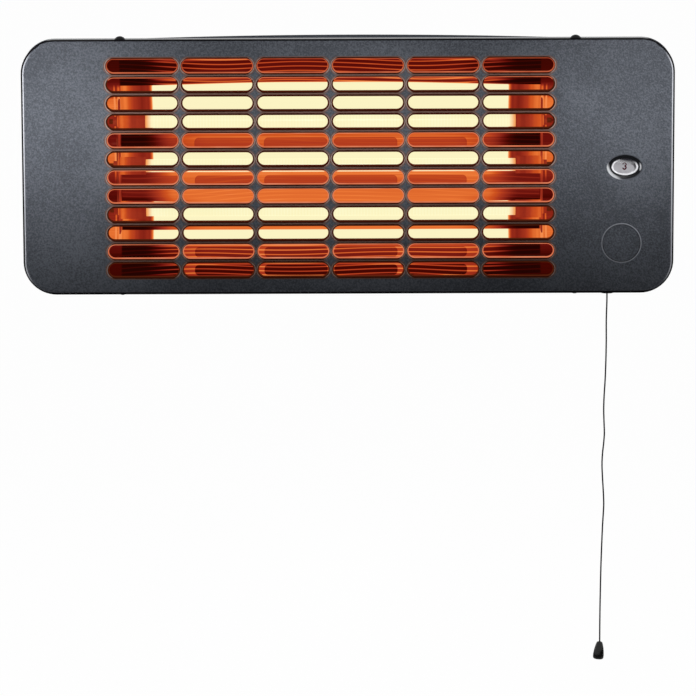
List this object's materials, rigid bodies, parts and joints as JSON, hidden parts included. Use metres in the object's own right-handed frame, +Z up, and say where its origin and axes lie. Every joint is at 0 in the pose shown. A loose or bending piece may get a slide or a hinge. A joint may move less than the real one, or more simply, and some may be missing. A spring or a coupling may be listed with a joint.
{
  "type": "wall-mounted patio heater",
  "caption": "Wall-mounted quartz patio heater: tubes behind a slotted metal cover, a pull cord that works a stepped switch, and a tilting wall bracket.",
  "frame": {"origin": "midway between the two wall screws, on the wall face of the bracket", "axes": "+X to the right seen from the front, +Y into the wall, +Z up"},
  "size_m": [0.51, 0.1074, 0.4997],
  "materials": {
    "case_paint": "charcoal hammered powder coat",
    "dark_steel": "black domed screws",
    "bright_steel": "zinc plated",
    "reflector_sheet": "bright rolled sheet",
    "quartz": "quartz tube lit from inside",
    "glowing_coil": "glowing heating wire",
    "ceramic": "unglazed ceramic",
    "contact_brass": "bare brass",
    "lens_clear": "clear moulded lens",
    "black_moulding": "glossy black",
    "black_plastic": "black moulding",
    "dial_white": "white with dark red digits",
    "switch_moulding": "heat-proof moulding",
    "lever_moulding": "red-brown moulding",
    "cord": "braided black cord",
    "seal_rubber": "matt",
    "lead_red": "silicone sleeve",
    "lead_brown": "silicone sleeve",
    "lead_blue": "silicone sleeve",
    "lead_green": "silicone sleeve"
  },
  "bodies": {
    "bracket": {"wall_bracket": "case_paint", "tilt_bolt_left": "bright_steel", "tilt_bolt_right": "bright_steel", "tilt_washers": "bright_steel"},
    "heater": {"front_cover": "case_paint", "rear_shell": "case_paint", "rim_screws": "dark_steel", "cover_studs": "bright_steel", "reflector_nuts": "bright_steel", "reflector": "reflector_sheet", "reflector_end_left": "reflector_sheet", "reflector_end_right": "reflector_sheet", "quartz_tube_top": "quartz", "quartz_tube_middle": "quartz", "quartz_tube_bottom": "quartz", "heating_coil_top": "glowing_coil", "heating_coil_middle": "glowing_coil", "heating_coil_bottom": "glowing_coil", "end_cap_top_left": "ceramic", "end_cap_top_right": "ceramic", "end_cap_middle_left": "ceramic", "end_cap_middle_right": "ceramic", "end_cap_bottom_left": "ceramic", "end_cap_bottom_right": "ceramic", "tube_support_left": "reflector_sheet", "tube_support_right": "reflector_sheet", "terminal_nuts": "contact_brass", "link_strip": "contact_brass", "window_lens": "lens_clear", "lens_retainer": "black_plastic", "return_spring": "bright_steel", "switch_lid": "switch_moulding", "switch_body": "switch_moulding", "switch_contacts": "contact_brass", "switch_posts": "bright_steel", "switch_screws": "bright_steel", "cord_bush": "black_plastic", "terminal_block": "switch_moulding", "terminal_screws": "contact_brass", "tube_leads": "lead_red", "supply_lead": "lead_brown", "return_lead": "lead_blue", "earth_lead": "lead_green", "earth_stud": "bright_steel", "gland_body": "black_plastic", "gland_seal": "seal_rubber", "gland_nut": "black_plastic", "gland_locknut": "black_plastic", "tilt_lug_left": "case_paint", "tilt_lug_right": "case_paint", "lug_rivets": "bright_steel"},
    "cord_pull": {"pull_cord_inner": "cord"},
    "cord_hang": {"pull_cord": "cord", "pull_knob": "black_moulding"},
    "lever": {"pull_lever": "lever_moulding"},
    "dial": {"indicator_disc": "dial_white", "ratchet_wheel": "switch_moulding", "switch_shaft": "switch_moulding"},
    "wing_nut_left": {"wing_nut_left": "black_plastic"},
    "wing_nut_right": {"wing_nut_right": "black_plastic"}
  },
  "joints": [
    {"name": "heater_tilt", "type": "hinge", "parent": "bracket", "child": "heater", "pos_m": [0, -0.031, 0], "axis": [1, 0, 0], "range_deg": [0, 25]},
    {"name": "cord_pull", "type": "slide", "parent": "heater", "child": "cord_pull", "axis": [0, 0, -1], "range_m": [0, 0.01133], "stiffness_N_per_m": 120, "springref_m": -0.006},
    {"name": "lever_swing", "type": "hinge", "parent": "heater", "child": "lever", "pos_m": [0.2163, -0.09445, -0.017], "axis": [0, -1, 0], "range_deg": [0, 50.2]},
    {"name": "cord_hang", "type": "hinge", "parent": "cord_pull", "child": "cord_hang", "pos_m": [0.20353, -0.09445, -0.1017], "axis": [1, 0, 0], "range_deg": [-25, 0]},
    {"name": "dial_turn", "type": "hinge", "parent": "heater", "child": "dial", "pos_m": [0.2163, -0.097, -0.017], "axis": [0, 1, 0], "continuous": true},
    {"name": "wing_nut_left_turn", "type": "hinge", "parent": "bracket", "child": "wing_nut_left", "pos_m": [-0.107, -0.031, 0], "axis": [-1, 0, 0], "range_deg": [0, 360]},
    {"name": "wing_nut_right_turn", "type": "hinge", "parent": "bracket", "child": "wing_nut_right", "pos_m": [0.107, -0.031, 0], "axis": [1, 0, 0], "range_deg": [0, 360]}
  ],
  "couplings": [
    {"joint": "lever_swing", "follows": "cord_pull", "rad_per_m": 77.022},
    {"joint": "cord_hang", "follows": "heater_tilt", "ratio": -1}
  ]
}
